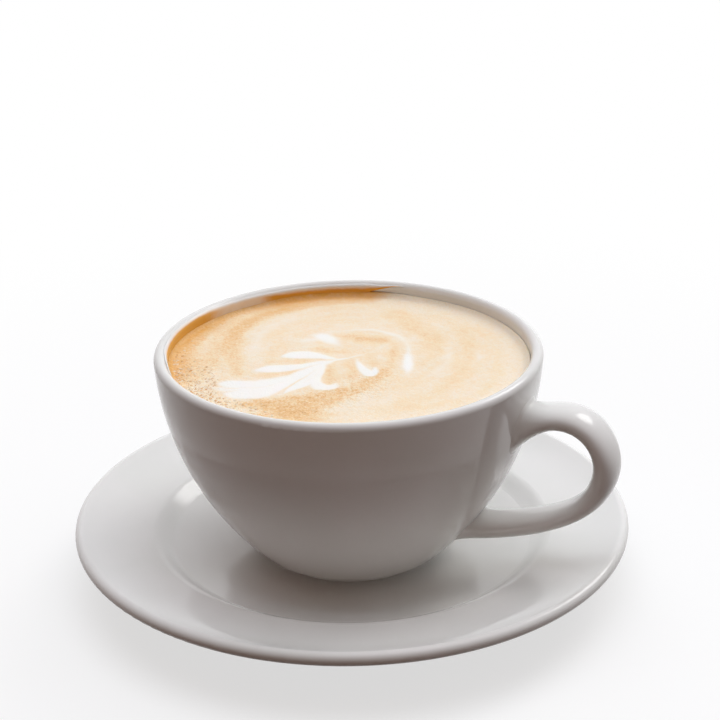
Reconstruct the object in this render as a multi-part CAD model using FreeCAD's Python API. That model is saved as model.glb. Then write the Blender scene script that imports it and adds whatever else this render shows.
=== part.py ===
# Cup of cafe au lait: a glazed ceramic cup with a loop handle, the saucer it stands on, and the drink in it.
#
# Frame: millimetres, +Z up, origin on the table at the centre of the saucer's foot ring.
# The cup, the saucer and the drink share the Z axis. The handle points along +X, in the XZ plane.

import FreeCAD
import Part

import math
import os

# --- Driving dimensions ------------------------------------------------------------------------

# Cup
RIM_RADIUS = 54.0            # outside of the rim
CUP_HEIGHT = 62.3            # foot to rim
WALL = 3.4                   # wall of the bowl, and the full-round rim on it
FLOOR_THICKNESS = 4.2        # under the drink, above the recess inside the foot ring
BASE_RISE = 4.0              # foot to where the bowl's side starts, above its rounded bottom edge
BASE_ROUND = 3.5             # radius of that bottom edge, which turns in over the foot ring
BASE_SLOPE = 45.5            # degrees above level at which the bowl's side leaves its base
BASE_PULL = 27.0             # how far the side keeps that direction
RIM_LEAN = 2.8               # degrees off upright at which the side meets the rim
RIM_PULL = 15.8              # how far the side keeps that direction
FOOT_RADIUS = 23.4           # outside of the foot ring
FOOT_INSET = 5.2             # how far the bowl's side starts outside the foot ring
FOOT_WIDTH = 3.4
FOOT_RECESS = 1.9            # hollow inside the foot ring
FOOT_ROUND = 0.7             # rounding of the foot ring's edges

INNER_JOIN = 0.36            # share of the side, from the base, above which the wall is even
INNER_CORNER_PULL = 17.0     # how far the inside keeps the side's direction below that
INNER_FLOOR_PULL = 24.0      # how far the inside keeps level from the middle of the floor

# Handle
HANDLE_REACH = 24.5          # from the rim to the outermost point
HANDLE_TOP_DROP = 8.4        # from the top of the rim down to where the loop's outer edge starts
HANDLE_FOOT_RISE = 10.5      # from the cup's foot up to where it ends
# The outer edge's control points between its ends, as shares of the loop's reach and height,
# and how far in and down from each the inner edge has its own, which sets the band's thickness.
HANDLE_OUTER = ((0.151, 0.007), (0.424, -0.055), (0.918, 0.062), (1.171, 0.551), (0.212, 0.894))
HANDLE_THICKNESS = ((2.2, 7.5), (1.9, 5.8), (4.1, 4.6), (9.1, -3.5), (-2.8, -6.9))
HANDLE_TOP_THICKNESS = 16.9  # where the band meets the bowl at its upper end
HANDLE_FOOT_THICKNESS = 6.7  # the same at its lower end
HANDLE_WIDTH = 13.0          # across the band, along Y
HANDLE_ROOT_WIDTH = 14.0     # the same where the band meets the bowl
HANDLE_TOP_SPREAD = 0.16     # share of its length over which it widens to its upper end
HANDLE_FOOT_SPREAD = 0.2     # the same to its lower end
HANDLE_SQUARENESS = 2.4      # 2 is an oval section, more is boxier
HANDLE_FILLET = 1.4          # between the band and the bowl
HANDLE_ROOT_DEPTH = 0.6      # share of the wall that the band's ends reach into
HANDLE_SECTION_POINTS = 24   # points round each section
HANDLE_STRETCHES = ((0.0, 0.06, 5), (0.06, 0.86, 14), (0.86, 1.0, 8))   # start, end, sections set

# Drink
FILL_DROP = 4.3              # from the top of the rim down to the drink
DRINK_CLEARANCE = 0.05       # between the drink and the bowl

# Saucer
SAUCER_RADIUS = 79.2
SAUCER_FLOOR = 7.0           # table to the floor that the cup stands on
FLOOR_PLAY = 5.4             # flat floor outside the cup's foot ring
LIP_RADIUS = 1.8             # rounded bead at the saucer's edge
LIP_RISE = 9.9               # floor to the bead's centre
STEP_RADIUS = 57.4           # top of the step round the well
STEP_RISE = 7.6              # floor to the top of the step
STEP_FALL = 3.2              # height of the step's face
STEP_RUN = 5.9               # its width
STEP_PULL = 0.34             # share of its width over which each end keeps its neighbour's direction
WELL_SLOPE = 17.0            # degrees, where the well's side meets the step
WELL_PULL = 0.42             # share of the well's side that keeps each end's direction
RIM_SLOPE = 2.5              # degrees, where the broad rim leaves the step
RIM_UPTURN = 24.0            # degrees, where the rim meets the bead
RIM_SHARE = 0.4              # share of the broad rim that keeps each end's direction
SAUCER_WALL = 4.4
SAUCER_FOOT_RADIUS = 45.0
SAUCER_FOOT_WIDTH = 3.6
SAUCER_FOOT_HEIGHT = 2.6
SAUCER_FOOT_ROUND = 0.8
UNDERSIDE_RISE = 1.0         # how much the underside has risen where it turns up from the foot ring

# --- Worked out from them ----------------------------------------------------------------------

CUP_BASE = SAUCER_FLOOR
BASE_RADIUS = FOOT_RADIUS + FOOT_INSET
RIM_TOP = CUP_BASE + CUP_HEIGHT
INNER_FLOOR = CUP_BASE + FOOT_RECESS + FLOOR_THICKNESS
FILL_LEVEL = RIM_TOP - FILL_DROP

AXIS_POINT = FreeCAD.Vector(0, 0, 0)
AXIS = FreeCAD.Vector(0, 0, 1)
SAME_HEIGHT = 1e-4           # two heights nearer than this are the same
HALVINGS = 30                # steps in the search for a point of the bowl's side


# --- Small helpers -----------------------------------------------------------------------------

def at(radius, height):
    """A point of the half section, in the XZ plane."""
    return FreeCAD.Vector(radius, 0, height)


def heading(degrees):
    """A unit direction in the half section, measured up from level."""
    angle = math.radians(degrees)
    return at(math.cos(angle), math.sin(angle))


def left_of(direction):
    """The direction a quarter turn to the left, which on the bowl's side points into the wall."""
    return at(-direction.z, direction.x)


def line(start, end):
    return Part.LineSegment(start, end).toShape()


def arc(start, middle, end):
    return Part.Arc(start, middle, end).toShape()


def bezier(*poles):
    curve = Part.BezierCurve()
    curve.setPoles(list(poles))
    return curve


def revolved(edges):
    """The solid that a closed half section sweeps about the axis, with its seam away from the handle."""
    face = Part.Face(Part.Wire(Part.__sortEdges__(edges)))
    face.rotate(AXIS_POINT, AXIS, 180)
    return Part.Solid(face.revolve(AXIS_POINT, AXIS, 360).Shells[0])


def rounded_at(height, solid, radius):
    """The solid with its circular edges at that height rounded."""
    circles = [edge for edge in solid.Edges if isinstance(edge.Curve, Part.Circle)]
    edges = [edge for edge in circles if abs(edge.Curve.Center.z - height) < SAME_HEIGHT]
    return solid.makeFillet(radius, edges)


# --- The bowl's section ------------------------------------------------------------------------

LIP_CENTRE = at(RIM_RADIUS - WALL / 2, RIM_TOP - WALL / 2)
SIDE_UP = heading(90 - RIM_LEAN)
SIDE_START = at(BASE_RADIUS, CUP_BASE + BASE_RISE)
SIDE_END = LIP_CENTRE - left_of(SIDE_UP) * (WALL / 2)
SIDE = bezier(SIDE_START, SIDE_START + heading(BASE_SLOPE) * BASE_PULL,
              SIDE_END - SIDE_UP * RIM_PULL, SIDE_END)


def side_share(height):
    """Where along the bowl's side, from its base, a height lies, found by halving."""
    low, high = 0.0, 1.0
    for _ in range(HALVINGS):
        middle = (low + high) / 2
        if SIDE.value(middle).z < height:
            low = middle
        else:
            high = middle
    return low


def wall_gap(point):
    """How far a point lies outside the bowl's side, measured square to it."""
    share = side_share(point.z)
    upright = SIDE.tangent(share)[0].z
    return (math.hypot(point.x, point.y) - SIDE.value(share).x) * upright


def inside_section(inset):
    """The bowl's inner surface from the middle of the floor up to the lip, moved in by inset."""
    join = SIDE.value(INNER_JOIN)
    join_up = FreeCAD.Vector(SIDE.tangent(INNER_JOIN)[0])
    low = join + left_of(join_up) * (WALL + inset)
    high = SIDE_END + left_of(SIDE_UP) * (WALL + inset)
    upper = bezier(*SIDE.getPoles())
    upper.segment(INNER_JOIN, 1.0)
    start, after, before, end = upper.getPoles()
    scale = (high - low).Length / (end - start).Length
    wall_curve = bezier(low, low + (after - start) * scale, high + (before - end) * scale, high)
    middle = at(0, INNER_FLOOR + inset)
    floor_curve = bezier(middle, middle + at(INNER_FLOOR_PULL, 0), low - join_up * INNER_CORNER_PULL, low)
    return [floor_curve.toShape(), wall_curve.toShape()], middle, high


def hollow(inset, top):
    """The space inside the bowl up to a height, moved in from its surface by inset."""
    edges, middle, high = inside_section(inset)
    above = RIM_TOP + WALL
    edges.append(line(high, high + SIDE_UP * WALL))
    edges.append(line(high + SIDE_UP * WALL, at(0, above)))
    edges.append(line(at(0, above), middle))
    return revolved(edges).cut(Part.makeCylinder(2 * RIM_RADIUS, CUP_HEIGHT, at(0, top)))


# --- Sub-parts ---------------------------------------------------------------------------------

def bowl_body():
    """The cup's body with its lip and foot ring, still without its hollow."""
    round_centre = SIDE_START + left_of(heading(BASE_SLOPE)) * BASE_ROUND
    round_bottom = round_centre - at(0, BASE_ROUND)
    round_middle = round_centre - left_of(heading(BASE_SLOPE / 2)) * BASE_ROUND
    recess_radius = FOOT_RADIUS - FOOT_WIDTH
    lip_inside = LIP_CENTRE + left_of(SIDE_UP) * (WALL / 2)
    edges = [
        SIDE.toShape(),
        arc(SIDE_END, at(LIP_CENTRE.x, RIM_TOP), lip_inside),
        line(lip_inside, at(0, lip_inside.z)),
        line(at(0, lip_inside.z), at(0, CUP_BASE + FOOT_RECESS)),
        line(at(0, CUP_BASE + FOOT_RECESS), at(recess_radius, CUP_BASE + FOOT_RECESS)),
        line(at(recess_radius, CUP_BASE + FOOT_RECESS), at(recess_radius, CUP_BASE)),
        line(at(recess_radius, CUP_BASE), at(FOOT_RADIUS, CUP_BASE)),
        line(at(FOOT_RADIUS, CUP_BASE), at(FOOT_RADIUS, round_bottom.z)),
        line(at(FOOT_RADIUS, round_bottom.z), round_bottom),
        arc(round_bottom, round_middle, SIDE_START),
    ]
    return rounded_at(CUP_BASE, revolved(edges), FOOT_ROUND)


def handle_edge(poles):
    """A smooth curve in the XZ plane through the ends of the poles and drawn by those between."""
    degree = 3
    spans = len(poles) - degree
    curve = Part.BSplineCurve()
    curve.buildFromPolesMultsKnots(poles, [degree + 1] + [1] * (spans - 1) + [degree + 1],
                                   [i / spans for i in range(spans + 1)], False, degree)
    return curve


def handle_stations():
    """Shares of the band's length at which its section is set, closer together at both ends."""
    shares = []
    for start, end, steps in HANDLE_STRETCHES:
        shares += [start + (end - start) * i / steps for i in range(steps)]
    return shares + [1.0]


def root_flare(gap):
    """How far the band spreads where it is that near the bowl: a quarter round of HANDLE_FILLET."""
    depth = HANDLE_FILLET - min(max(gap, 0), HANDLE_FILLET)
    return HANDLE_FILLET - math.sqrt(HANDLE_FILLET ** 2 - depth ** 2)


def handle_section(outer, inner, half_width):
    """The band's closed section between a point on its outer and one on its inner edge."""
    middle = (outer + inner) / 2
    across = (outer - inner) / 2
    sideways = FreeCAD.Vector(0, half_width, 0)
    power = 2 / HANDLE_SQUARENESS
    points = []
    for i in range(HANDLE_SECTION_POINTS):
        angle = 2 * math.pi * i / HANDLE_SECTION_POINTS
        c, s = math.cos(angle), math.sin(angle)
        arm = across * math.copysign(abs(c) ** power, c) + sideways * math.copysign(abs(s) ** power, s)
        flare = root_flare(wall_gap(middle + arm))
        points.append(middle + arm * (1 + flare / arm.Length))
    even = [i / HANDLE_SECTION_POINTS for i in range(HANDLE_SECTION_POINTS + 1)]
    curve = Part.BSplineCurve()
    curve.interpolate(Points=points, Parameters=even, PeriodicFlag=True)
    return curve


def skinned(sections, shares):
    """The solid whose side passes smoothly through closed sections set at these shares of its length."""
    around = sections[0]
    rows = []
    for strand in zip(*(section.getPoles() for section in sections)):
        along = Part.BSplineCurve()
        along.interpolate(Points=list(strand), Parameters=shares)
        rows.append(along.getPoles())
    surface = Part.BSplineSurface()
    surface.buildFromPolesMultsKnots(rows, around.getMultiplicities(), along.getMultiplicities(),
                                     around.getKnots(), along.getKnots(), True, False,
                                     around.Degree, along.Degree)
    side = surface.toShape()
    ends = [Part.Face(Part.Wire(edge)) for edge in side.Edges if edge.isClosed()]
    shell = Part.Shell([side] + ends)
    shell.sewShape()
    return Part.Solid(shell)


def handle():
    """The loop handle: a flattened band that spreads into the bowl at both ends."""
    top = RIM_TOP - HANDLE_TOP_DROP
    foot = CUP_BASE + HANDLE_FOOT_RISE

    def root(height):
        """A point inside the wall at that height."""
        return at(SIDE.value(side_share(height)).x - WALL * HANDLE_ROOT_DEPTH, height)

    between = [at(RIM_RADIUS + HANDLE_REACH * out, top - (top - foot) * down) for out, down in HANDLE_OUTER]
    inside = [point - at(inward, down) for point, (inward, down) in zip(between, HANDLE_THICKNESS)]
    outer = handle_edge([root(top)] + between + [root(foot)])
    inner = handle_edge([root(top - HANDLE_TOP_THICKNESS)] + inside + [root(foot + HANDLE_FOOT_THICKNESS)])
    shares = handle_stations()
    sections = []
    for share in shares:
        spread = max(1 - share / HANDLE_TOP_SPREAD, 1 - (1 - share) / HANDLE_FOOT_SPREAD, 0) ** 2
        width = HANDLE_WIDTH + (HANDLE_ROOT_WIDTH - HANDLE_WIDTH) * spread
        sections.append(handle_section(outer.value(share), inner.value(share), width / 2))
    return skinned(sections, shares)


def cup():
    return bowl_body().fuse(handle()).cut(hollow(0, RIM_TOP))


def coffee():
    return hollow(DRINK_CLEARANCE, FILL_LEVEL)


def saucer():
    floor_radius = FOOT_RADIUS + FLOOR_PLAY
    floor_edge = at(floor_radius, SAUCER_FLOOR)
    step_top = at(STEP_RADIUS, SAUCER_FLOOR + STEP_RISE)
    step_foot = step_top - at(STEP_RUN, STEP_FALL)
    lip = at(SAUCER_RADIUS - LIP_RADIUS, SAUCER_FLOOR + LIP_RISE)
    lip_in = lip + left_of(heading(RIM_UPTURN)) * LIP_RADIUS
    lip_out = lip + at(LIP_RADIUS, 0)
    lip_under = lip - left_of(heading(RIM_UPTURN)) * LIP_RADIUS
    well_pull = (step_foot.x - floor_radius) * WELL_PULL
    rim_pull = (lip_in.x - step_top.x) * RIM_SHARE
    step_pull = STEP_RUN * STEP_PULL
    foot_outer = at(SAUCER_FOOT_RADIUS, SAUCER_FOOT_HEIGHT)
    foot_inner_radius = SAUCER_FOOT_RADIUS - SAUCER_FOOT_WIDTH
    under = SAUCER_FLOOR - SAUCER_WALL
    edges = [
        line(at(0, SAUCER_FLOOR), floor_edge),
        bezier(floor_edge, floor_edge + at(well_pull, 0),
               step_foot - heading(WELL_SLOPE) * well_pull, step_foot).toShape(),
        bezier(step_foot, step_foot + heading(WELL_SLOPE) * step_pull,
               step_top - heading(RIM_SLOPE) * step_pull, step_top).toShape(),
        bezier(step_top, step_top + heading(RIM_SLOPE) * rim_pull,
               lip_in - heading(RIM_UPTURN) * rim_pull, lip_in).toShape(),
        arc(lip_in, lip_out, lip_under),
        bezier(lip_under, lip_under - heading(RIM_UPTURN) * rim_pull,
               foot_outer + at(rim_pull, UNDERSIDE_RISE), foot_outer).toShape(),
        line(foot_outer, at(SAUCER_FOOT_RADIUS, 0)),
        line(at(SAUCER_FOOT_RADIUS, 0), at(foot_inner_radius, 0)),
        line(at(foot_inner_radius, 0), at(foot_inner_radius, under)),
        line(at(foot_inner_radius, under), at(0, under)),
        line(at(0, under), at(0, SAUCER_FLOOR)),
    ]
    return rounded_at(0, revolved(edges), SAUCER_FOOT_ROUND)


# --- Export ------------------------------------------------------------------------------------

os.makedirs("parts", exist_ok=True)
for name, build in (("cup", cup), ("coffee", coffee), ("saucer", saucer)):
    shape = build()
    shape.exportStep(os.path.join("parts", name + ".step"))
    box = shape.BoundBox
    print(name, "solids", len(shape.Solids), "valid", shape.isValid(), "volume", round(shape.Volume))
    print("    from", box.XMin, box.YMin, box.ZMin, "to", box.XMax, box.YMax, box.ZMax)
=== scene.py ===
import math

import bpy
import numpy as np
from mathutils import Matrix, Vector


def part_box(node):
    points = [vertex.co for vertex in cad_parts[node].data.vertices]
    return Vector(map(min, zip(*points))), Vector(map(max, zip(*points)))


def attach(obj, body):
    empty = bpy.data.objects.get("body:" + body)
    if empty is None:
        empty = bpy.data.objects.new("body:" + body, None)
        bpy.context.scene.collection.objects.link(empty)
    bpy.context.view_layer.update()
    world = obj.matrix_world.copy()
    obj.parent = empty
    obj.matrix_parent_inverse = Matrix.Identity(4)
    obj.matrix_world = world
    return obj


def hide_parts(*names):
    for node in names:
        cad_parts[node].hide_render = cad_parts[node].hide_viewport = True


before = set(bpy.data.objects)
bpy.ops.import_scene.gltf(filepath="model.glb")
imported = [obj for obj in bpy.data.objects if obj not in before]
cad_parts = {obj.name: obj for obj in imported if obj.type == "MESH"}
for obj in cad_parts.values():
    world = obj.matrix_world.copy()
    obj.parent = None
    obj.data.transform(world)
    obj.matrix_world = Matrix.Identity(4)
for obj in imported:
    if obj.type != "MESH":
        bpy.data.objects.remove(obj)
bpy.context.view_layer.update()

# Lengths are in millimetres up to where a mesh is made, and Blender's own are in metres.
MM = 0.001

# --- Camera ------------------------------------------------------------------------------------

CAMERA_TURN = 26.0           # degrees round from the front (-Y) towards the handle (+X)
CAMERA_RISE = 22.08          # degrees above level
CAMERA_ROLL = -1.11          # degrees
CAMERA_DISTANCE = 467.3      # from the middle of the rim
SENSOR = 36.0
FOCAL_LENGTH = 84.08
LENS_SHIFT = (0.01625, -0.02153)   # to the right and up, as shares of the sensor's side
CLIP_START = 10.0

# --- Colours, as they look on a screen ---------------------------------------------------------

GLAZE = (232, 231, 229)
GLAZE_POOLED = (225, 226, 222)
BARE_CLAY = (214, 205, 192)
FOAM_WHITE = (250, 247, 241)
FOAM_PALE = (247, 233, 212)
FOAM_CREAM = (246, 223, 187)
CREMA_TAN = (239, 198, 143)
CREMA_BROWN = (219, 158, 90)
AMBER = (226, 165, 66)
AMBER_DEEP = (228, 162, 54)
FILM_PALE = (240, 220, 200)
FLOOR_SEEN = (248, 248, 248)
FLOOR_BOUNCE = (62, 38, 26)


def linear(colour):
    """A screen colour, 0 to 255, as the shader's linear one."""
    shares = [c / 255 for c in colour]
    return [c / 12.92 if c <= 0.04045 else ((c + 0.055) / 1.055) ** 2.4 for c in shares] + [1.0]


# --- Sizes read from the frame -----------------------------------------------------------------

def in_mm(corner):
    return [c / MM for c in corner]


RIM_TOP = in_mm(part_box("cup")[1])[2]
LEVEL = in_mm(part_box("coffee")[1])[2]
CUP_BASE = in_mm(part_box("cup")[0])[2]
DRINK_RADIUS = in_mm(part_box("coffee")[1])[1]
WALL = 3.4                   # of the cup, at its lip
LIP_ROUND = WALL / 2
LIP_BOTTOM = RIM_TOP - LIP_ROUND
CLEARANCE = 0.05             # that the drink's solid keeps from the wall
CUP_FOOT = 24.0              # radius within which the cup's foot ring lies
SAUCER_FOOT = 46.0           # the same for the saucer's

PROFILE_STEPS = 24           # heights at which the drink's side is read
PROFILE_START = 0.4          # above its lowest point
PROFILE_END = 0.05           # below its level
FLAT_TOP = 0.01              # a point nearer to the level than this lies on the top face


def drink_profile():
    """Heights and radii of the drink's side and its lowest height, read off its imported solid."""
    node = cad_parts["coffee"]
    points = np.array([v.co for v in node.data.vertices]) / MM
    height, radius = points[:, 2], np.hypot(points[:, 0], points[:, 1])
    levels = np.linspace(height.min() + PROFILE_START, LEVEL - PROFILE_END, PROFILE_STEPS)
    side = height < LEVEL - FLAT_TOP
    order = np.argsort(height[side])
    radii = np.interp(levels, height[side][order], radius[side][order])
    return levels, radii, height.min()


PROFILE_HEIGHTS, PROFILE_RADII, DRINK_BOTTOM = drink_profile()
LEAN = (PROFILE_RADII[-1] - PROFILE_RADII[-2]) / (PROFILE_HEIGHTS[-1] - PROFILE_HEIGHTS[-2])   # at the top


def wall_radius(height):
    """The bowl's inner radius at a height: carried on straight above the drink, then round the lip."""
    known = np.interp(height, PROFILE_HEIGHTS, PROFILE_RADII)
    straight = known + CLEARANCE + np.maximum(np.minimum(height, LIP_BOTTOM) - PROFILE_HEIGHTS[-1], 0) * LEAN
    over_lip = np.clip(height - LIP_BOTTOM, 0, LIP_ROUND)
    return straight + LIP_ROUND - np.sqrt(LIP_ROUND ** 2 - over_lip ** 2)


# --- Numbers that vary over a surface ----------------------------------------------------------

TABLE = 256                  # cells each way before the noise repeats
EMPTY_CELL = 1e-3            # the radius of a dome that isn't there
CURVE_STEPS = 8              # pieces of a curve between two of its points
TINY = 1e-9                  # keeps a division from being by nothing


def smooth(low, high, value):
    """0 at low, 1 at high, and an even slope between that starts and ends level. Low may be the larger."""
    share = np.clip((value - low) / (high - low), 0, 1)
    return share * share * (3 - 2 * share)


def arc(angle, start, full, fading, end):
    """1 from the angle full to the angle fading, and 0 before start and after end."""
    return smooth(start, full, angle) * smooth(end, fading, angle)


def cell_noise(x, y, seed):
    """Smooth noise, 0 to 1, with a new value for each whole x and y."""
    table = np.random.default_rng(seed).random((TABLE, TABLE))
    column, row = np.floor(x).astype(int), np.floor(y).astype(int)
    across, along = smooth(0, 1, x - column), smooth(0, 1, y - row)

    def in_row(number):
        left = table[number % TABLE, column % TABLE]
        right = table[number % TABLE, (column + 1) % TABLE]
        return left * (1 - across) + right * across

    return in_row(row) * (1 - along) + in_row(row + 1) * along


def cloud(x, y, size, seed, layers=3):
    """Noise from -1 to 1 in several layers, the largest with that size and each next one half of it."""
    total, weight = 0, 0
    for layer in range(layers):
        share = 0.5 ** layer
        scale = 2 ** layer / size
        noise = cell_noise(x * scale + 31 * layer, y * scale + 17 * layer, seed + layer)
        total = total + share * (noise - 0.5)
        weight += share
    return 2 * total / weight


def domes(x, y, pitch, seed, smallest, largest, share):
    """Round domes scattered one to a cell: 0 outside them, rising to 1 at the middle of each.

    Their radii are in pitches, and share is how many of the cells have one.
    """
    random = np.random.default_rng(seed)
    places = random.random((TABLE, TABLE, 2))
    radii = smallest + (largest - smallest) * random.random((TABLE, TABLE)) ** 2
    radii = np.where(random.random((TABLE, TABLE)) < share, radii, EMPTY_CELL)
    column, row = np.floor(x / pitch).astype(int), np.floor(y / pitch).astype(int)
    inside = np.zeros_like(x)
    for down in (-1, 0, 1):
        for over in (-1, 0, 1):
            c, r = (column + over) % TABLE, (row + down) % TABLE
            dx = x / pitch - (column + over + places[r, c, 0])
            dy = y / pitch - (row + down + places[r, c, 1])
            inside = np.maximum(inside, 1 - np.hypot(dx, dy) / radii[r, c])
    return np.clip(inside, 0, 1)


def through(points):
    """A smooth curve through rows of numbers."""
    rows = np.array(points, float)
    rows = np.vstack([2 * rows[0] - rows[1], rows, 2 * rows[-1] - rows[-2]])
    curve = []
    for before, start, end, after in zip(rows, rows[1:], rows[2:], rows[3:]):
        for t in np.arange(CURVE_STEPS) / CURVE_STEPS:
            curve.append(0.5 * (2 * start + (end - before) * t
                                + (2 * before - 5 * start + 4 * end - after) * t ** 2
                                + (3 * start - before - 3 * end + after) * t ** 3))
    curve.append(rows[-2])
    return np.array(curve)


def stroke(x, y, points, softness):
    """How far each place lies in a brush stroke: its points are x, y, half width and strength."""
    curve = through(points)
    best = np.zeros_like(x)
    for start, end in zip(curve, curve[1:]):
        run = end[:2] - start[:2]
        along = ((x - start[0]) * run[0] + (y - start[1]) * run[1]) / (run @ run + TINY)
        along = np.clip(along, 0, 1)
        gap = np.hypot(x - start[0] - along * run[0], y - start[1] - along * run[1])
        half = start[2] + along * (end[2] - start[2])
        strength = start[3] + along * (end[3] - start[3])
        best = np.maximum(best, strength * smooth(half + softness, half - softness, gap))
    return best


# --- The poured leaf, in its own axes: X to the right of the camera's view, Y away from it -----

# Each stroke of white foam has a softness and runs through points of x, y, half width and strength.
LEAF = [
    # the foot of the leaf, where the pour ended, and its run into the stem
    (1.5, [(-34.6, -15.6, 1.0, .5), (-32, -16.2, 2.6, .9), (-25, -17.3, 3.4, 1), (-17.5, -14.4, 3.0, 1),
           (-10.5, -7.4, 1.9, 1), (-4.5, -2.0, 0.7, .8)]),
    (1.4, [(-32.4, -22.6, 1.2, .55), (-29.5, -23.6, 2.8, .95), (-24, -22.3, 3.2, 1), (-19, -17.9, 2.2, 1),
           (-14, -11.8, 1.2, 1)]),
    (1.5, [(-36.4, -18.4, 0.9, .25), (-33, -19.6, 1.8, .7), (-27, -20, 2.0, .9)]),
    # leaves on the near side
    (0.9, [(-18.6, -24, 0.6, .6), (-15.6, -20.2, 1.5, .9), (-11.8, -15.6, 2.3, 1), (-8.8, -9.5, 1.7, 1),
           (-6.6, -4.4, 0.8, .9)]),
    (0.9, [(-3.6, -17.0, 0.5, .6), (-4.6, -19.4, 1.4, .85), (-7.4, -19.4, 2.1, .95), (-9.3, -15.5, 1.5, 1),
           (-8.2, -9.0, 0.9, 1), (-7.0, -5, 0.7, .9)]),
    (0.8, [(2.5, -0.8, 0.4, .6), (3.1, -4.8, 0.9, .85), (4.3, -9.3, 1.5, 1), (5.5, -11.6, 1.5, 1),
           (7.0, -9.4, 1.0, .9), (7.4, -7.0, 0.7, .6), (8.7, -6.4, 0.3, .4)]),
    # leaves on the far side
    (1.0, [(-24.6, -6.8, 1.3, .7), (-21.5, -6.4, 2.2, 1), (-16.5, -5.6, 1.9, 1), (-10.5, -4.0, 1.3, .95),
           (-5, -1.6, 0.6, .8)]),
    (1.1, [(-17.4, 2.4, 1.3, .7), (-14.5, 3.4, 2.6, 1), (-11, 3.0, 2.6, 1), (-7, 1.4, 1.5, .95),
           (-3, -0.4, 0.6, .8)]),
    (2.1, [(-9.8, 17.6, 1.4, .6), (-7.4, 16.4, 2.5, .95), (-5.2, 13.6, 2.0, .85), (-3.2, 10.8, 1.1, .6),
           (-1.6, 8.4, 0.5, .3)]),
    (2.2, [(-19, 11.6, 0.8, .2), (-14, 13.4, 1.4, .45), (-9.5, 15.2, 1.6, .6)]),
    (1.8, [(-15.5, 8.4, 0.6, .15), (-11, 9.6, 1.0, .35), (-6.5, 11.6, 0.9, .4)]),
    # the outermost leaf, which swept right round the tip
    (1.5, [(-7, 19.6, 0.5, .35), (-1, 21.4, 0.7, .45), (5, 21.6, 0.9, .55), (10, 19.6, 1.1, .6),
           (14.2, 16.2, 1.1, .6), (16.4, 11.4, 0.8, .55), (17.0, 5.0, 0.8, .65), (16.7, -1.0, 1.2, .95),
           (16.3, -6.8, 1.4, .95), (15.6, -11.6, 0.6, .4)]),
    # the stem
    (0.75, [(-7, -3.4, 0.8, .9), (-2.5, -0.6, 0.55, .8), (2, 1.6, 0.4, .65), (6.5, 4.6, 0.35, .45),
            (10, 8, 0.3, .35), (12.6, 12.4, 0.3, .25)]),
    # faint rings of milk beyond the leaf
    (2.2, [(26.5, 15, 1.0, .1), (28.0, 5, 1.4, .34), (27, -4, 1.5, .4), (23.5, -11, 1.7, .42),
           (19, -16, 1.3, .2)]),
    (1.6, [(35.4, 6.6, 0.9, .2), (36.0, 0.6, 1.0, .4), (35.2, -6.2, 0.8, .2)]),
    (2.4, [(-26, -1, 1.2, .2), (-26.4, 9, 1.8, .4), (-24.6, 20, 2.0, .4), (-19.5, 29, 2.0, .34),
           (-9, 35, 1.8, .2)]),
    (2.2, [(-40.5, 2, 1.0, .2), (-40.6, 12, 1.3, .3), (-38.6, 22, 1.3, .3), (-34, 31, 1.0, .15)]),
]

# Thin lines of crema drawn through the white by the last pull. Each runs through points of the same form.
VEINS = [
    [(-18.2, -23.4, 0.3, .6), (-16.4, -19, 0.32, .55), (-13.4, -13.4, 0.28, .5), (-9.6, -7.4, 0.2, .3)],
    [(-33, -19.6, 0.3, .35), (-29, -19.2, 0.3, .4), (-23, -18.4, 0.3, .4), (-17, -14.2, 0.2, .25)],
    [(-12.5, -16.6, 0.2, .3), (-9.9, -11.5, 0.25, .35), (-7.6, -6.2, 0.2, .25)],
    [(-30, -13.6, 0.2, .2), (-22, -14.4, 0.25, .25), (-14, -9.4, 0.2, .2)],
]

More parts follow.
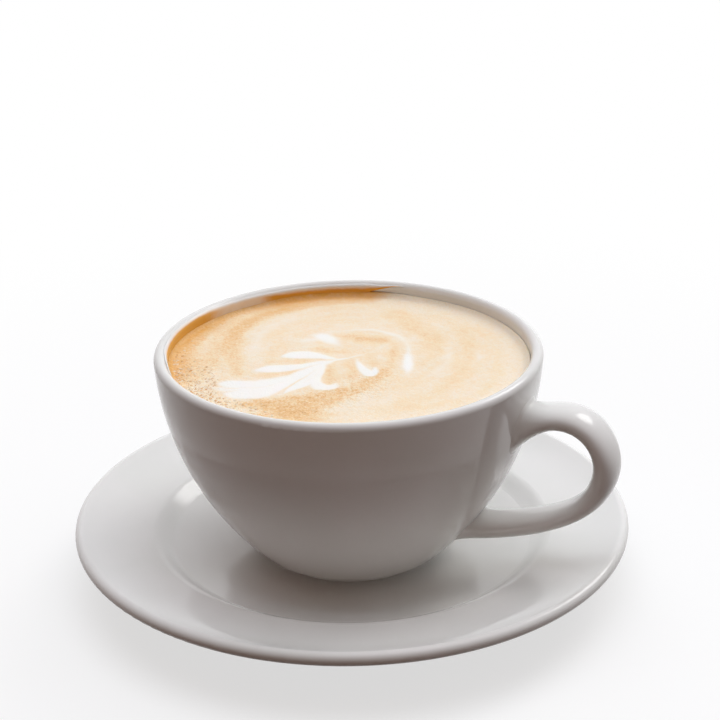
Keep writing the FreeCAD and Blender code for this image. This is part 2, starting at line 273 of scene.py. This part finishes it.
# Where the crema is browner than the cream around it.
CREMA = [
    [(-47, -16, 4, .4), (-44, -6, 6, .34), (-42, 8, 7, .3), (-38, 22, 7, .3), (-28, 35, 6, .26),
     (-14, 43.5, 3, .2)],
    [(-46, -10, 1.6, .3), (-46, 2, 1.4, .3), (-45.4, 14, 1.4, .3), (-42, 26, 1.6, .3), (-36, 35, 1.2, .2)],
    [(-30.4, -9, 1.6, .3), (-32.4, 2, 2.0, .42), (-32.8, 14, 2.4, .5), (-30.8, 26, 2.4, .5),
     (-24.6, 35, 2.0, .46), (-15, 42, 1.8, .42), (-4, 45.4, 1.4, .4), (6, 46, 0.8, .2)],
    [(-29, -30, 1.4, .5), (-21, -30.5, 4.0, .6), (-12, -30.5, 5.6, .62), (-5.5, -26.5, 4.4, .52),
     (1, -20.5, 3.0, .5), (7, -14, 1.8, .5), (10, -9, 1.0, .4)],
    [(-24, -38, 2.4, .5), (-12, -38, 3.4, .5), (-6, -38, 1.6, .3)],
    [(10, -12, 1.0, .35), (12.0, -5, 1.0, .36), (12.6, 3, 1.2, .4), (13.0, 9, 1.0, .34), (11, 13.4, 1.2, .3)],
    [(-3.6, 17.4, 1.0, .3), (2.6, 15.4, 2.2, .44), (9.6, 13.4, 1.8, .44)],
    [(-4.6, -4.5, 0.8, .32), (-5.4, -9.5, 1.5, .46), (-4.6, -15, 1.6, .42)],
    [(-0.4, -3.6, 0.6, .3), (0.9, -8, 1.1, .42), (0.6, -13, 1.8, .42)],
    [(6.3, 2.6, 0.9, .3), (7.2, -3.5, 1.2, .36), (9, -8, 1.0, .3)],
    [(-8.6, 8.0, 1.2, .2), (-4.6, 5.4, 1.4, .34), (0, 5.0, 1.2, .24)],
    [(14, 33, 4, .2), (20, 24, 4, .2), (24, 14, 3, .2), (23, 4, 2.4, .2), (20, -5, 1.6, .2)],
    [(33, 20, 2, .14), (34, 8, 2, .16), (32, -8, 2, .16), (26, -22, 2.4, .2), (14, -32, 3, .2)],
    [(-25.5, -10.6, 0.7, .3), (-20, -9.9, 0.9, .34), (-15, -8.2, 0.6, .24)],
    [(-21.5, -1.6, 1.0, .24), (-15, -1.2, 1.0, .3), (-9, -0.9, 0.6, .2)],
]

# Where the foam is coarse, with open bubbles: one broad stroke round the left and the front.
COARSE = [(-48, -4, 3, .7), (-43, -14, 6, 1), (-34, -26, 5, 1), (-20, -33, 7, 1), (-5, -27, 7, .9),
          (4, -18, 6, .8), (9, -10, 3, .6)]
VEIN_SOFTNESS, CREMA_SOFTNESS, COARSE_SOFTNESS = 0.4, 2.0, 5.0


def leaf_axes(x, y):
    """Places in the row frame, turned into the pattern's own axes."""
    turn = math.radians(CAMERA_TURN)
    return x * math.cos(turn) + y * math.sin(turn), y * math.cos(turn) - x * math.sin(turn)


def row_axes(x, y):
    """Places in the pattern's own axes, turned back into the row frame."""
    turn = math.radians(CAMERA_TURN)
    return x * math.cos(turn) - y * math.sin(turn), x * math.sin(turn) + y * math.cos(turn)


def around(x, y):
    """The angle of a place about the cup's axis, in degrees from the pattern's own X."""
    return np.degrees(np.arctan2(y, x)) % 360


# --- Mesh helpers ------------------------------------------------------------------------------

def piece(name, points, faces, material, numbers):
    """A smooth mesh on the root body, from points in millimetres. numbers are named values, one a point."""
    mesh = bpy.data.meshes.new(name)
    mesh.from_pydata((np.asarray(points) * MM).tolist(), [], faces)
    for key, values in dict(numbers).items():
        mesh.attributes.new(key, "FLOAT", "POINT").data.foreach_set("value", np.asarray(values, np.float32))
    mesh.shade_smooth()
    mesh.materials.append(material)
    made = bpy.data.objects.new(name, mesh)
    bpy.context.scene.collection.objects.link(made)
    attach(made, "root")
    return made


def ring_faces(rings, closed=True):
    """Quads between rows of point numbers, with each row joined end to end where closed."""
    faces = []
    for near, far in zip(rings, rings[1:]):
        count = len(near)
        for i in range(count if closed else count - 1):
            j = (i + 1) % count
            faces.append((near[i], near[j], far[j], far[i]))
    return faces


# --- The drink ---------------------------------------------------------------------------------

FOAM_CELLS = 270             # along each side of the foam's grid
FOAM_LOOKS = ("milk", "crema", "amber", "coarse", "deep")
MENISCUS = 0.95              # how far the foam climbs the wall
MENISCUS_WIDTH = 2.2
MENISCUS_CURVE = 2.6         # how sharply it turns up at the wall
INTO_WALL = 0.12             # how far the drink's edge reaches into the wall, so that no gap shows

# Arcs in degrees round from the pattern's X: where each starts, is full, starts to fade, and ends.
CLIMB_BACK, CLIMB_BACK_MORE = (60, 80, 108, 128), 0.55    # where the foam stands higher, and how much
CLIMB_LEFT, CLIMB_LEFT_MORE = (135, 165, 190, 225), 0.25
AMBER_BACK, AMBER_BACK_WIDTH = (72, 82, 112, 132), 7.4    # where the rim is amber, and how far in
AMBER_LEFT, AMBER_LEFT_WIDTH = (134, 150, 188, 212), 5.2
AMBER_BETWEEN, AMBER_BETWEEN_WIDTH = (106, 122, 138, 158), 4.0
AMBER_LEAST_WIDTH, AMBER_UNEVEN = 0.8, 1.2
AMBER_BETWEEN_STRENGTH = 0.75

WAVER, WAVER_SIZE = 0.9, 11.0          # how far strokes stray from their line, and over what length
TREMBLE, TREMBLE_SIZE = 0.22, 1.6      # the same for their fine, ragged edge
SWIRL_CENTRE = (4.0, 2.0)              # of the faint rings in the crema
RING_WIDTH, FINE_RING_WIDTH = 6.0, 2.2
RING_TURN, FINE_RING_TURN = 9.0, 5.0   # degrees of turn that count as one millimetre along a ring
PALE_RADII = (41.0, 50.0)              # the crema turns pale from the first to the second, except at the left
PALEST = 0.8                           # how much of the crema is gone at the second

# How strong the crema is off its strokes: everywhere, in patches, in rings and in finer rings.
CREMA_LEAST, CREMA_PATCHES, CREMA_RINGS, CREMA_FINE_RINGS = 0.12, 0.08, 0.12, 0.13
COARSE_LEAST, COARSE_AT_LEFT = 0.3, 0.4

# Heights in the foam, first the slow swells and the ripples on them.
SWELL, RIPPLE = 0.16, 0.05
MILK_RISE = 0.07
LARGE_BUBBLE, SMALL_BUBBLE, GRAIN = 0.20, 0.10, 0.05
SMOOTHED_BY_MILK = 0.75                # how much of the last three is gone where the milk is white


def foam_grid():
    """Even quads over a disc of radius 1, and the numbers of the points round its edge in order."""
    steps = np.linspace(-1, 1, FOAM_CELLS + 1)
    a, b = np.meshgrid(steps, steps)
    wide = np.abs(a) > np.abs(b)
    radius = np.where(wide, a, b)
    safe = np.where(radius == 0, 1, radius)
    angle = np.where(wide, np.pi / 4 * b / safe, np.pi / 2 - np.pi / 4 * a / safe)
    index = np.arange(a.size).reshape(a.shape)
    quads = np.stack([index[:-1, :-1], index[:-1, 1:], index[1:, 1:], index[1:, :-1]], -1).reshape(-1, 4)
    edge = np.concatenate([index[0, :-1], index[:-1, -1], index[-1, :0:-1], index[:0:-1, 0]])
    return (radius * np.cos(angle)).ravel(), (radius * np.sin(angle)).ravel(), quads.tolist(), edge


def climb(angle):
    """How high the foam stands at the wall, by the angle about the axis."""
    return MENISCUS + CLIMB_BACK_MORE * arc(angle, *CLIMB_BACK) + CLIMB_LEFT_MORE * arc(angle, *CLIMB_LEFT)


def poured_milk(x, y):
    """How white each place is: the leaf's strokes, with the veins taken out of them."""
    milk = np.zeros_like(x)
    for softness, points in LEAF:
        milk = np.maximum(milk, stroke(x, y, points, softness))
    for points in VEINS:
        milk = milk * (1 - stroke(x, y, points, VEIN_SOFTNESS))
    return milk


def gathered_crema(x, y):
    """How brown the crema's own strokes are at each place, where they add up."""
    cream = np.ones_like(x)
    for points in CREMA:
        cream = cream * (1 - stroke(x, y, points, CREMA_SOFTNESS))
    return 1 - cream


def swirled_crema(x, y):
    """Faint uneven rings and patches of crema, over a little of it everywhere."""
    from_x, from_y = x - SWIRL_CENTRE[0], y - SWIRL_CENTRE[1]
    ring = np.hypot(from_x, from_y)
    turn = np.degrees(np.arctan2(from_y, from_x)) + 180
    rings = CREMA_RINGS * cloud(turn / RING_TURN, ring, RING_WIDTH, seed=21)
    fine_rings = CREMA_FINE_RINGS * cloud(turn / FINE_RING_TURN, ring, FINE_RING_WIDTH, seed=27, layers=2)
    return rings + fine_rings + CREMA_PATCHES * cloud(x, y, size=4, seed=31) + CREMA_LEAST


def amber_rim(radius, angle):
    """How amber each place is along the rim of the drink, at the back and the left."""
    back, left, between = arc(angle, *AMBER_BACK), arc(angle, *AMBER_LEFT), arc(angle, *AMBER_BETWEEN)
    width = (AMBER_LEAST_WIDTH + AMBER_LEFT_WIDTH * left + AMBER_BACK_WIDTH * back
             + AMBER_BETWEEN_WIDTH * between + AMBER_UNEVEN * cloud(angle / 7, radius, size=2, seed=41))
    present = np.maximum(np.maximum(left, back), AMBER_BETWEEN_STRENGTH * between)
    return present * np.clip((radius - DRINK_RADIUS + width) / width, 0, 1) ** 1.1


def looks_of_foam(x, y):
    """For places in the leaf's axes, the numbers from 0 to 1 that FOAM_LOOKS names."""
    wavy_x, wavy_y = (
        place + WAVER * cloud(x, y, WAVER_SIZE, seed) + TREMBLE * cloud(x, y, TREMBLE_SIZE, seed + 3)
        for place, seed in ((x, 5), (y, 6)))
    radius, angle = np.hypot(x, y), around(x, y)
    pale_edge = smooth(*PALE_RADII, radius) * smooth(-30, 12, x + 0.5 * y)
    crema = gathered_crema(wavy_x, wavy_y) + swirled_crema(x, y)
    crema = crema * (1 - PALEST * pale_edge)
    coarse = stroke(x, y, COARSE, COARSE_SOFTNESS) + COARSE_LEAST + COARSE_AT_LEFT * smooth(-20, -40, x)
    looks = poured_milk(wavy_x, wavy_y), crema, amber_rim(radius, angle), coarse, arc(angle, *AMBER_BACK)
    return [np.clip(look, 0, 1) for look in looks]


def foam_height(x, y, milk, coarse):
    """The foam's height over the drink's level: slow swells, raised milk, bubbles and the climb."""
    radius, rise = np.hypot(x, y), climb(around(x, y))
    inward = (wall_radius(LEVEL + rise) - radius) / MENISCUS_WIDTH
    at_wall = np.clip(1 - inward, 0, 1) ** MENISCUS_CURVE
    swell = SWELL * cloud(x, y, size=17, seed=51) + RIPPLE * cloud(x, y, size=4, seed=61)
    off_wall = smooth(DRINK_RADIUS, DRINK_RADIUS - 3, radius)
    large = domes(x, y, pitch=1.9, seed=71, smallest=0.14, largest=0.34, share=0.5)
    small = domes(x, y, pitch=1.05, seed=81, smallest=0.2, largest=0.42, share=0.8)
    grain = cloud(x, y, size=0.9, seed=91, layers=1)
    rough = LARGE_BUBBLE * np.sqrt(large) + SMALL_BUBBLE * np.sqrt(small) + GRAIN * grain
    rough = coarse * (1 - SMOOTHED_BY_MILK * milk) * rough
    return swell * off_wall + MILK_RISE * milk + rough + rise * at_wall


def drink(material):
    """The whole drink: a fine sheet of foam on top, closed below by the bowl's own inner shape."""
    unit_x, unit_y, faces, edge = foam_grid()
    angle = np.degrees(np.arctan2(unit_y, unit_x)) - CAMERA_TURN
    edge_radius = wall_radius(LEVEL + climb(angle % 360)) + INTO_WALL
    x = unit_x * edge_radius
    y = unit_y * edge_radius
    in_leaf = leaf_axes(x, y)
    looks = dict(zip(FOAM_LOOKS, looks_of_foam(*in_leaf)))
    height = LEVEL + foam_height(*in_leaf, looks["milk"], looks["coarse"])
    points = [np.stack([x, y, height], -1)]
    numbers = [np.stack(list(looks.values()), -1)]
    count = len(x)
    rings = [edge.tolist()]
    edge_angle = np.arctan2(y[edge], x[edge])
    for level in PROFILE_HEIGHTS[::-1]:
        size = wall_radius(level) + INTO_WALL
        points.append(np.stack([size * np.cos(edge_angle), size * np.sin(edge_angle),
                                np.full(len(edge), level)], -1))
        numbers.append(numbers[0][edge])
        rings.append(list(range(count, count + len(edge))))
        count += len(edge)
    faces += [tuple(reversed(face)) for face in ring_faces(rings)]
    points.append(np.array([[0, 0, DRINK_BOTTOM]]))
    numbers.append(numbers[0][:1])
    last = rings[-1]
    faces += [(last[(i + 1) % len(last)], last[i], count) for i in range(len(last))]
    numbers = np.concatenate(numbers)
    made = piece("cafe_au_lait", np.concatenate(points), faces, material,
                 zip(FOAM_LOOKS, numbers.T))
    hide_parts("coffee")


# --- The wet film on the wall, above the drink at the back and the left ------------------------

FILM_FROM, FILM_TO = 70.0, 214.0   # degrees round from the pattern's X
FILM_STEPS = 220
FILM_ROWS = 16
FILM_THICKNESS = 0.09
FILM_BACK = 0.25                   # how far its hidden side lies inside the wall
FILM_FOOT = 0.7                    # where it starts, as a share of the foam's climb
FILM_BELOW_RIM = 0.35
FILM_LOWER_AT_BACK = 0.35          # how much more it stays below the rim there
FILM_WAVE = 0.14                   # how far its top edge strays
FILM_LEAST, FILM_LEAST_START = 0.1, 0.2   # its height at its far end and at its start
FILM_STRENGTH = 0.34               # how deep its colour is between the back and the left
FILM_LEFT_STRENGTH = 0.6           # how much deeper at the left


def film_span(angle):
    """The film's lower and upper height at an angle. It narrows down at its end and up at its start."""
    low = LEVEL + climb(angle) * FILM_FOOT
    top = RIM_TOP - FILM_BELOW_RIM - FILM_LOWER_AT_BACK * smooth(150, 120, angle)
    top = top + FILM_WAVE * cloud(angle / 6, angle * 0, size=1, seed=101)
    top = low + FILM_LEAST + (top - low) * smooth(FILM_TO, FILM_TO - 34, angle)
    low = low + (top - FILM_LEAST_START - low) * smooth(FILM_FROM + 16, FILM_FROM + 2, angle)
    return low, top


def wet_film(material):
    """A thin closed skin of coffee on the wall, which thins out at its edges."""
    angle = np.linspace(FILM_FROM, FILM_TO, FILM_STEPS + 1)
    low, top = film_span(angle)
    ends = arc(angle, FILM_FROM, FILM_FROM + 5, FILM_TO - 20, FILM_TO)
    back = smooth(124, 110, angle)
    left = arc(angle, 134, 150, FILM_TO - 26, FILM_TO)
    strength = ends * np.clip(FILM_STRENGTH + back + FILM_LEFT_STRENGTH * left, 0, 1)
    turned = np.radians(angle + CAMERA_TURN)
    points, depth = [], []
    for share in np.linspace(0, 1, FILM_ROWS + 1):
        height = low + (top - low) * share
        sunk = 1 - ends * smooth(1, 0.9, share)
        proud = FILM_THICKNESS * ends * smooth(1, 0.85, share) - INTO_WALL * sunk
        radius = wall_radius(height) - proud
        points.append(np.stack([radius * np.cos(turned), radius * np.sin(turned), height], -1))
        depth.append(strength * smooth(1.0, 0.15 + 0.55 * (1 - back), share))
    for height in (top, low):
        radius = wall_radius(height) + FILM_BACK
        points.append(np.stack([radius * np.cos(turned), radius * np.sin(turned), height], -1))
        depth.append(angle * 0)
    count, rows = FILM_STEPS + 1, len(points)
    rings = [list(range(row * count, (row + 1) * count)) for row in range(rows)]
    faces = ring_faces(rings + [rings[0]], closed=False)
    faces.append([ring[0] for ring in reversed(rings)])
    faces.append([ring[-1] for ring in rings])
    piece("wet_film", np.concatenate(points), faces, material,
          {"depth": np.concatenate(depth), "tone": np.tile(back, rows)})


# --- Bubbles standing on the foam, where the crema is coarse ------------------------------------

BUBBLES = 700                # tried, of which those on milk or too far in are left out
BUBBLE_BAND = 13.0           # how far in from the wall they reach
BUBBLE_ANGLE, BUBBLE_SPREAD = 208.0, 17.0      # degrees round from the pattern's X
BUBBLE_START = 0.7           # how far in they start, as a share of the meniscus
BUBBLE_CROWD = 4.6           # how far in from there they lie on average
BUBBLE_SMALLEST, BUBBLE_LARGEST = 0.18, 0.54   # radii
BUBBLE_RISE = 0.28           # a bubble's height as a share of its radius
BUBBLE_RINGS = (105, 75, 45, 15)               # degrees from the top, the first just under the foam
BUBBLE_SIDES = 10
MILK_AT_MOST = 0.15


def foam_bubbles(material):
    """Low domes of two tones along the left and front left of the drink, most of them near the wall."""
    random = np.random.default_rng(7)
    angle = np.radians(random.normal(BUBBLE_ANGLE, BUBBLE_SPREAD, BUBBLES))
    out = DRINK_RADIUS - MENISCUS_WIDTH * BUBBLE_START - random.exponential(BUBBLE_CROWD, BUBBLES)
    sizes = BUBBLE_SMALLEST + (BUBBLE_LARGEST - BUBBLE_SMALLEST) * random.random(BUBBLES) ** 2.2
    x, y = out * np.cos(angle), out * np.sin(angle)
    looks = dict(zip(FOAM_LOOKS, looks_of_foam(x, y)))
    bases = LEVEL + foam_height(x, y, looks["milk"], looks["coarse"])
    kept = (looks["milk"] < MILK_AT_MOST) & (out > DRINK_RADIUS - BUBBLE_BAND)
    tones = random.random(kept.sum())
    side = np.arange(BUBBLE_SIDES) * math.tau / BUBBLE_SIDES
    points, faces = [], []
    for middle_x, middle_y, base, size in zip(*row_axes(x[kept], y[kept]), bases[kept], sizes[kept]):
        rings = []
        for lean in np.radians(BUBBLE_RINGS):
            rings.append(list(range(len(points) * BUBBLE_SIDES, (len(points) + 1) * BUBBLE_SIDES)))
            wide, high = size * np.sin(lean), BUBBLE_RISE * size * np.cos(lean)
            points.append(np.stack([middle_x + wide * np.cos(side), middle_y + wide * np.sin(side),
                                    np.full(BUBBLE_SIDES, base + high)], -1))
        faces += ring_faces(rings) + [rings[-1], rings[0][::-1]]
    piece("foam_bubbles", np.concatenate(points), faces, material,
          {"tone": np.repeat(tones, len(BUBBLE_RINGS) * BUBBLE_SIDES)})


# --- Materials ---------------------------------------------------------------------------------

GLAZE_IOR = 1.5
WET_IOR = 1.36               # of coffee and milk
CLAY_HEIGHT = (0.42, 0.30)   # above the foot: the clay starts to show at the first and is bare at the second
CLAY_RADIUS = (0.6, 0.3)     # beyond the foot's radius, the same


class Nodes:
    """Builds the nodes of a material or a world. A value that is a socket is linked, and any other is set."""

    def __init__(self, owner):
        self.owner = owner
        self.tree = owner.node_tree
        self.shader = self.tree.nodes.get("Principled BSDF")

    def put(self, node, key, value):
        if isinstance(value, bpy.types.NodeSocket):
            self.tree.links.new(value, node.inputs[key])
        else:
            node.inputs[key].default_value = value

    def set(self, **values):
        for key, value in values.items():
            self.put(self.shader, key.replace("_", " "), value)

    def add(self, kind, values=(), **settings):
        node = self.tree.nodes.new("ShaderNode" + kind)
        for key, value in settings.items():
            setattr(node, key, value)
        for key, value in dict(values).items():
            self.put(node, key, value)
        return node

    def place(self):
        """Places on the piece, in millimetres."""
        return self.add("VectorMath", {0: self.add("TexCoord").outputs["Object"], 1: (1 / MM,) * 3},
                        operation="MULTIPLY").outputs[0]

    def number(self, name):
        """One of the numbers on the mesh's points."""
        return self.add("Attribute", attribute_name=name).outputs["Fac"]

    def math(self, operation, *values):
        return self.add("Math", enumerate(values), operation=operation).outputs[0]

    def scale_add(self, value, scale, more):
        """The value times the scale, and more added."""
        return self.math("MULTIPLY_ADD", value, scale, more)

    def noise(self, size, detail=2.0, roughness=0.5):
        """Noise from 0 to 1 with lumps of that size in millimetres."""
        return self.add("TexNoise", {"Vector": self.place(), "Scale": 1 / size, "Detail": detail,
                                     "Roughness": roughness}).outputs["Fac"]

    def uneven(self, size, detail=2.0, roughness=0.5):
        """The same noise, about 0."""
        return self.math("SUBTRACT", self.noise(size, detail, roughness), 0.5)

    def cells(self, size):
        """How far each place is from the nearest of many scattered points, in cells of that size."""
        return self.add("TexVoronoi", {"Vector": self.place(), "Scale": 1 / size}).outputs["Distance"]

    def ramp(self, value, low, high):
        """0 where the value is at low, 1 at high, with a soft step between."""
        return self.add("MapRange", {0: value, 1: low, 2: high}, interpolation_type="SMOOTHSTEP").outputs[0]

    def blend(self, share, first, second):
        """Between two colours, each linear or a socket."""
        sides = [c if isinstance(c, bpy.types.NodeSocket) else (*c[:3], 1) for c in (first, second)]
        return self.add("Mix", {0: share, 6: sides[0], 7: sides[1]}, data_type="RGBA").outputs[2]

    def mix(self, share, first, second):
        """Between two colours, each a screen colour or a socket."""
        sides = [c if isinstance(c, bpy.types.NodeSocket) else linear(c) for c in (first, second)]
        return self.blend(share, *sides)

    def bump(self, height, depth, under=None):
        """Relief of that depth in millimetres, on top of another one where given."""
        values = {"Height": height, "Distance": depth * MM, "Strength": 1.0}
        if under is not None:
            values["Normal"] = under
        return self.add("Bump", values).outputs["Normal"]


def new_material(name):
    material = bpy.data.materials.new(name)
    material.use_nodes = True
    return Nodes(material)


def glaze(name, foot_height, foot_radius):
    """White glazed china: faintly uneven glaze, and bare clay under the foot ring that it stands on."""
    n = new_material(name)
    pooled = n.ramp(n.noise(26), 0.35, 0.7)
    colour = n.mix(n.math("MULTIPLY", pooled, 0.5), GLAZE, GLAZE_POOLED)
    split = n.add("SeparateXYZ", {0: n.place()}).outputs
    radius = n.math("SQRT", n.math("ADD", n.math("POWER", split[0], 2), n.math("POWER", split[1], 2)))
    height = n.scale_add(n.noise(1.5, 3), 0.24, split[2])
    low = n.ramp(height, *(foot_height + edge for edge in CLAY_HEIGHT))
    bare = n.math("MULTIPLY", low, n.ramp(radius, *(foot_radius + edge for edge in CLAY_RADIUS)))
    n.set(Base_Color=n.mix(bare, colour, n.mix(n.noise(0.6, 4), BARE_CLAY, GLAZE)), IOR=GLAZE_IOR)
    n.set(Roughness=n.scale_add(bare, 0.7, n.scale_add(n.noise(9, 3), 0.04, 0.05)))
    waves = n.bump(n.noise(7, 1), 0.010)
    n.set(Normal=n.bump(n.math("MULTIPLY", bare, n.noise(0.35, 3)), 0.05, waves))
    return n.owner


def foam():
    """Milk foam and crema: white where the milk was poured, grainy brown where crema gathered."""
    n = new_material("milk_foam_and_crema")
    milk, crema, amber, coarse, deep = (n.number(key) for key in FOAM_LOOKS)
    fine, mottle = n.uneven(0.6, 3, 0.65), n.uneven(1.9, 3, 0.6)
    speckle = n.math("MULTIPLY", fine, n.scale_add(coarse, 1.6, 0.5))
    patches = n.math("MULTIPLY", mottle, n.scale_add(coarse, 0.5, 0.3))
    brown = n.math("ADD", n.math("ADD", patches, crema), speckle)
    colour = n.mix(n.ramp(brown, -0.1, 0.35), FOAM_PALE, FOAM_CREAM)
    colour = n.mix(n.ramp(brown, 0.25, 0.8), colour, CREMA_TAN)
    colour = n.mix(n.ramp(brown, 0.75, 1.35), colour, CREMA_BROWN)
    colour = n.mix(n.ramp(n.scale_add(fine, 0.4, milk), 0.08, 0.92), colour, FOAM_WHITE)
    patchy_amber = n.scale_add(mottle, n.math("MULTIPLY", amber, 0.5), amber)
    n.set(Base_Color=n.mix(patchy_amber, colour, n.mix(deep, AMBER, AMBER_DEEP)))
    n.set(Roughness=n.scale_add(n.ramp(amber, 0.3, 0.9), -0.22, 0.5))
    froth = n.math("MULTIPLY", n.cells(0.42), n.scale_add(coarse, 0.8, 0.2))
    n.set(Normal=n.bump(froth, 0.10, n.bump(n.noise(0.9, 4, 0.6), 0.05)))
    n.set(IOR=WET_IOR, Subsurface_Weight=0.25, Subsurface_Radius=(1.0, 0.7, 0.45), Subsurface_Scale=1.5 * MM)
    return n.owner


def bubble_skin():
    """Bubbles from cream to toasted brown, smooth and wet."""
    n = new_material("bubble_skin")
    colour = n.mix(n.ramp(n.number("tone"), 0.1, 0.6), CREMA_BROWN, FOAM_PALE)
    colour = n.mix(n.ramp(n.noise(0.5), 0.35, 0.7), colour, CREMA_TAN)
    n.set(Base_Color=colour, Roughness=0.2, IOR=WET_IOR)
    return n.owner


def coffee_film():
    """Thin wet coffee on the glaze: deep amber where it is thick, and nearly bare glaze at its edges."""
    n = new_material("coffee_film")
    streaks = n.scale_add(n.uneven(2.0, 3), 0.25, n.number("depth"))
    strong = n.mix(n.number("tone"), AMBER, AMBER_DEEP)
    colour = n.mix(n.ramp(streaks, 0.0, 0.35), GLAZE, FILM_PALE)
    colour = n.mix(n.ramp(streaks, 0.3, 0.9), colour, strong)
    n.set(Base_Color=colour, Roughness=0.2, IOR=WET_IOR)
    return n.owner


# --- Stage -------------------------------------------------------------------------------------

FLOOR_SIZE = 6.0             # metres
FLOOR_FADE = (0.10, 0.34)    # metres from the axis over which the floor turns plain white
FLOOR_GLOW = 0.66            # share of plain white already in it under the saucer


def seen_or_mirrored(n):
    """1 for what the camera, a reflection or glass shows, and 0 for light that spreads."""
    path = n.add("LightPath").outputs
    shown = n.math("MAXIMUM", path["Is Camera Ray"], path["Is Glossy Ray"])
    return n.math("MAXIMUM", shown, path["Is Transmission Ray"])


def stage_floor():
    """A pale floor that keeps the shadow and turns plain white further out. It sheds little light upwards."""
    n = new_material("floor")
    shown = seen_or_mirrored(n)
    n.set(Base_Color=n.mix(shown, FLOOR_BOUNCE, FLOOR_SEEN), Roughness=0.9, Specular_IOR_Level=0.0)
    away = n.add("VectorMath", {0: n.add("TexCoord").outputs["Object"]}, operation="LENGTH").outputs["Value"]
    white = n.add("Emission", {"Color": (1, 1, 1, 1), "Strength": 1.0}).outputs[0]
    glow = n.scale_add(n.ramp(away, *FLOOR_FADE), 1 - FLOOR_GLOW, FLOOR_GLOW)
    fade = n.math("MULTIPLY", glow, shown)
    joined = n.add("MixShader", {0: fade, 1: n.shader.outputs[0], 2: white}).outputs[0]
    n.put(n.tree.nodes["Material Output"], "Surface", joined)
    mesh = bpy.data.meshes.new("floor")
    half = FLOOR_SIZE / 2
    corners = [(-half, -half, 0), (half, -half, 0), (half, half, 0), (-half, half, 0)]
    mesh.from_pydata(corners, [], [(0, 1, 2, 3)])
    mesh.materials.append(n.owner)
    floor = bpy.data.objects.new("floor", mesh)
    bpy.context.scene.collection.objects.link(floor)


def from_view(right, away, up):
    """A direction given as the camera's right, away from it and up, in the row frame."""
    return Vector((*row_axes(right, away), up))


def in_sky(turn, rise):
    """The direction so many degrees right of straight behind, as the camera sees it, and above level."""
    turn, rise = math.radians(turn), math.radians(rise)
    return from_view(math.sin(turn) * math.cos(rise), math.cos(turn) * math.cos(rise), math.sin(rise))


# Light from the sky, as shares of plain white: strongest overhead, pale behind, dim and warm in front.
SKY_TOP = (2.80, 2.91, 3.09)
SKY_BACK = (0.84, 0.86, 0.90)
SKY_FRONT = (0.15, 0.08, 0.052)
SKY_TOP_RISE = 82.0          # degrees above level, straight behind, where it is brightest
SKY_TOP_SPREAD = (0.80, 1.0)       # cosines of the angle from there at which that light starts and is full
SKY_BACK_TURN = 30.0         # degrees right of straight behind, where the rest is brightest
SKY_BACK_SPREAD = (-0.4, 0.8)

# A soft round window, which lights and is mirrored but isn't seen.
WINDOW_LIGHT = (5.5, 5.45, 5.38)
WINDOW_TURN = 45.0
WINDOW_RISE = 42.0
WINDOW_EDGE, WINDOW_CORE = 16.0, 7.0   # degrees from its middle at which it starts and is full


def soft_sky():
    """White to the camera and in mirrors, and for other light a sky with a window in it."""
    world = bpy.data.worlds.new("sky")
    bpy.context.scene.world = world
    world.use_nodes = True
    n = Nodes(world)
    way = n.add("TexCoord").outputs["Generated"]

    def toward(turn, rise, spread):
        """0 to 1 over a spread of cosines, by how near the ray's direction is to the one given."""
        near = n.add("VectorMath", {0: way, 1: in_sky(turn, rise)}, operation="DOT_PRODUCT")
        return n.ramp(near.outputs["Value"], *spread)

    level = n.blend(toward(SKY_BACK_TURN, 0, SKY_BACK_SPREAD), SKY_FRONT, SKY_BACK)
    colour = n.blend(toward(0, SKY_TOP_RISE, SKY_TOP_SPREAD), level, SKY_TOP)
    colour = n.blend(seen_or_mirrored(n), colour, (1, 1, 1))
    window = toward(WINDOW_TURN, WINDOW_RISE, [math.cos(math.radians(a)) for a in (WINDOW_EDGE, WINDOW_CORE)])
    off_camera = n.math("SUBTRACT", 1.0, n.add("LightPath").outputs["Is Camera Ray"])
    colour = n.blend(n.math("MULTIPLY", window, off_camera), colour, WINDOW_LIGHT)
    light = n.add("Background", {"Color": colour, "Strength": 1.0}).outputs[0]
    n.put(n.tree.nodes["World Output"], "Surface", light)


def camera():
    """In front and above, with the middle of the rim a little off the middle of the view."""
    rise, roll = math.radians(CAMERA_RISE), math.radians(CAMERA_ROLL)
    back = from_view(0, -math.cos(rise), math.sin(rise))
    level_right = from_view(1, 0, 0)
    level_up = back.cross(level_right)
    right = level_right * math.cos(roll) + level_up * math.sin(roll)
    up = level_up * math.cos(roll) - level_right * math.sin(roll)
    data = bpy.data.cameras.new("camera")
    data.sensor_width = SENSOR
    data.lens = FOCAL_LENGTH
    data.shift_x, data.shift_y = LENS_SHIFT
    data.clip_start = CLIP_START * MM
    made = bpy.data.objects.new("camera", data)
    matrix = Matrix((right, up, back)).transposed().to_4x4()
    matrix.translation = Vector((0, 0, RIM_TOP * MM)) + back * CAMERA_DISTANCE * MM
    made.matrix_world = matrix
    bpy.context.scene.collection.objects.link(made)
    bpy.context.scene.camera = made


# --- Put together ------------------------------------------------------------------------------

def finish_node(name, material):
    """Gives a carried-over CAD mesh its material."""
    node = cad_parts[name]
    node.data.materials.clear()
    node.data.materials.append(material)
    node.data.shade_smooth()


camera()
finish_node("cup", glaze("cup_glaze", CUP_BASE, CUP_FOOT))
finish_node("saucer", glaze("saucer_glaze", 0.0, SAUCER_FOOT))
drink(foam())
wet_film(coffee_film())
foam_bubbles(bubble_skin())
stage_floor()
soft_sky()
bpy.context.scene.view_settings.view_transform = "Standard"
